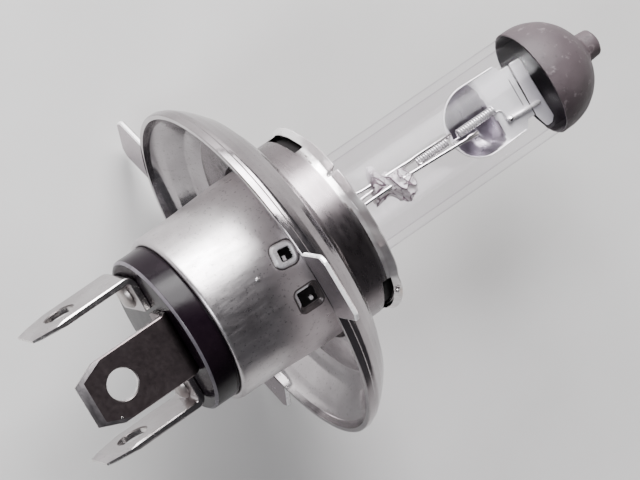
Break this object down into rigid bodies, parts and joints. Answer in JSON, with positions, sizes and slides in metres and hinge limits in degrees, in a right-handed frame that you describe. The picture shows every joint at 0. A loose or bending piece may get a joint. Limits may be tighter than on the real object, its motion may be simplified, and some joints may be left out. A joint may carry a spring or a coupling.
{
  "type": "headlight bulb",
  "caption": "Twin-filament halogen headlight bulb: clear tube with dark dome, dish flange with seating lugs, metal base shell and flat blade terminals.",
  "frame": {"origin": "centre of the reference plane, the plane of the glass-side faces of the three seating lugs, on the cap's axis", "axes": "+X along the bulb axis towards the glass tip, +Y to the left seen from the terminals, +Z towards the wide 12 o'clock lug"},
  "size_m": [0.076, 0.043, 0.0486],
  "materials": {
    "zinc_flange": "bright nickel plate",
    "nickel_shell": "brushed nickel plate",
    "collar_metal": "bright, heat tinted at the lip",
    "insulator": "moulded, satin black",
    "terminal_metal": "tinned, dull grey",
    "rivet_metal": "satin",
    "solder": "dull",
    "lead_metal": "satin",
    "holder_metal": "satin",
    "quartz": "clear, smooth",
    "glare_coat": "matte black-brown coating",
    "bead_quartz": "clear, rippled",
    "shield_metal": "bright molybdenum",
    "tungsten": "drawn tungsten",
    "foil_metal": "foil"
  },
  "bodies": {
    "root": {"flange_ring": "zinc_flange", "base_shell": "nickel_shell", "front_collar": "collar_metal", "insulator_disc": "insulator", "terminal_top": "terminal_metal", "terminal_left": "terminal_metal", "terminal_right": "terminal_metal", "rivet_top": "rivet_metal", "rivet_left": "rivet_metal", "rivet_right": "rivet_metal", "solder_top": "solder", "solder_left": "solder", "solder_right": "solder", "outer_lead_top": "lead_metal", "outer_lead_left": "lead_metal", "outer_lead_right": "lead_metal", "foil_top": "foil_metal", "foil_left": "foil_metal", "foil_right": "foil_metal", "holder_plate": "holder_metal", "pinch_clamp": "holder_metal", "glass_envelope": "quartz", "glare_cap": "glare_coat", "glass_bead": "bead_quartz", "beam_shield": "shield_metal", "shield_post": "lead_metal", "driving_filament": "tungsten", "dipped_filament": "tungsten", "common_lead": "lead_metal", "dipped_lead": "lead_metal", "driving_lead": "lead_metal"}
  },
  "joints": []
}
